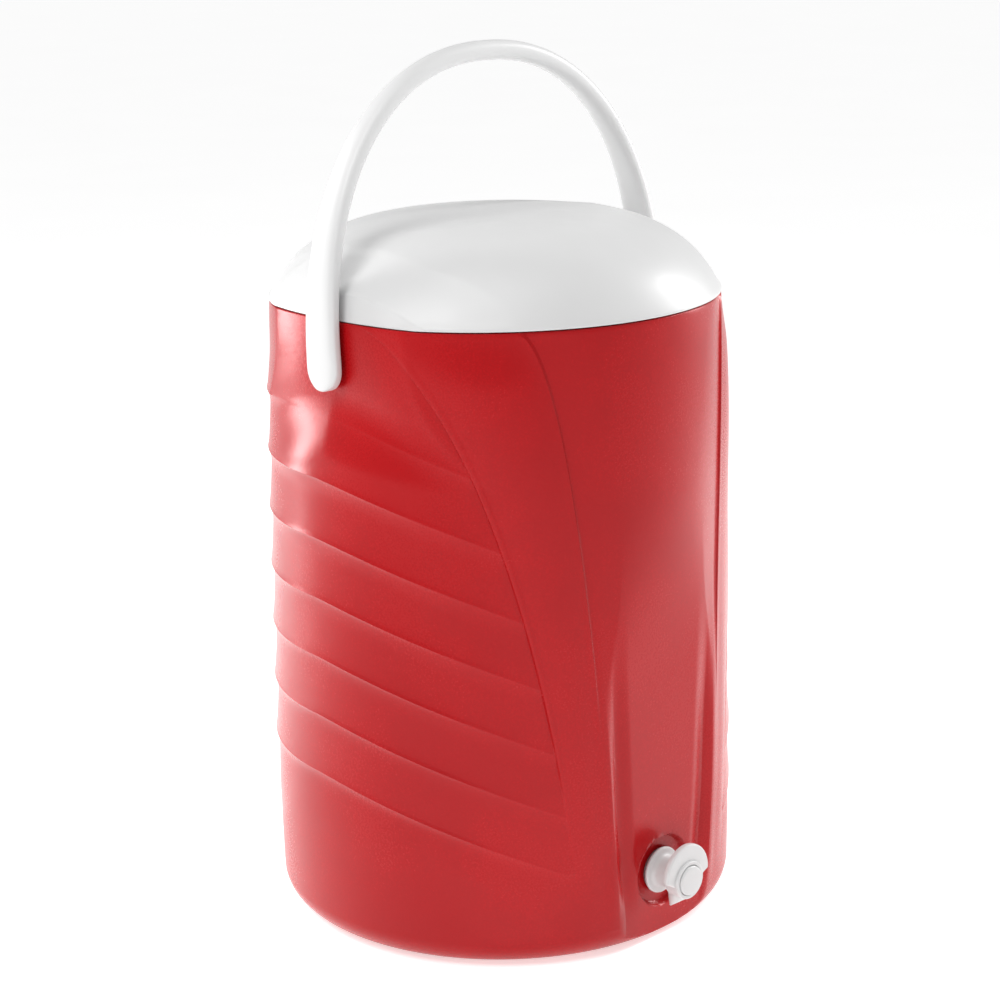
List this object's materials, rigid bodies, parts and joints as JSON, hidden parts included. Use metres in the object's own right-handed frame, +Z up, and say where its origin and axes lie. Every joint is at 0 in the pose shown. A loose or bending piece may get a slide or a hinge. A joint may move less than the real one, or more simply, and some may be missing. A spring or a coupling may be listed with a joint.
{
  "type": "insulated beverage dispenser",
  "caption": "Ribbed insulated drink barrel with a low domed lift-off lid, a swinging bail handle and a push-button tap near the foot of a flat front panel.",
  "frame": {"origin": "centre of the round base plate, on the floor that the barrel stands on", "axes": "+Z up along the barrel's axis, -Y out through the tap and the flat front panel, +X along the bail's pivot axis, to the right of somebody who faces the tap"},
  "size_m": [0.3426, 0.3608, 0.6295],
  "materials": {
    "shell_red": "satin",
    "trim_white": "semi-gloss",
    "tank_white": "smooth",
    "foam": "rigid closed-cell foam",
    "seal_grey": "matt",
    "bush_grey": "moulded",
    "steel": "stainless"
  },
  "bodies": {
    "barrel": {"outer_shell": "shell_red", "base_plate": "shell_red", "base_screw_1": "steel", "base_screw_2": "steel", "base_screw_3": "steel", "base_screw_4": "steel", "insulation_foam": "foam", "inner_tank": "tank_white", "neck_ring": "tank_white", "pivot_bush_left": "bush_grey", "pivot_bush_right": "bush_grey", "tap_body": "trim_white", "tap_outer_gasket": "seal_grey", "tap_inner_gasket": "seal_grey", "tap_nut": "trim_white", "stem_spring": "steel"},
    "lid": {"lid_cover": "trim_white", "lid_pan": "tank_white", "lid_foam": "foam", "lid_gasket": "seal_grey"},
    "bail": {"bail_handle": "trim_white", "pivot_pin_left": "steel", "pivot_pin_right": "steel", "pivot_clip_left": "steel", "pivot_clip_right": "steel"},
    "plunger": {"tap_button": "trim_white", "valve_stem": "steel", "valve_seal": "seal_grey", "stem_clip": "steel"}
  },
  "joints": [
    {"name": "bail_swing", "type": "hinge", "parent": "barrel", "child": "bail", "pos_m": [0, 0, 0.421], "axis": [1, 0, 0], "range_deg": [-90, 100]},
    {"name": "lid_lift", "type": "slide", "parent": "barrel", "child": "lid", "axis": [0, 0, 1], "range_m": [0, 0.016]},
    {"name": "tap_press", "type": "slide", "parent": "barrel", "child": "plunger", "axis": [0, 1, 0], "range_m": [0, 0.004], "stiffness_N_per_m": 800, "springref_m": -0.004, "deforming": ["stem_spring"]}
  ]
}
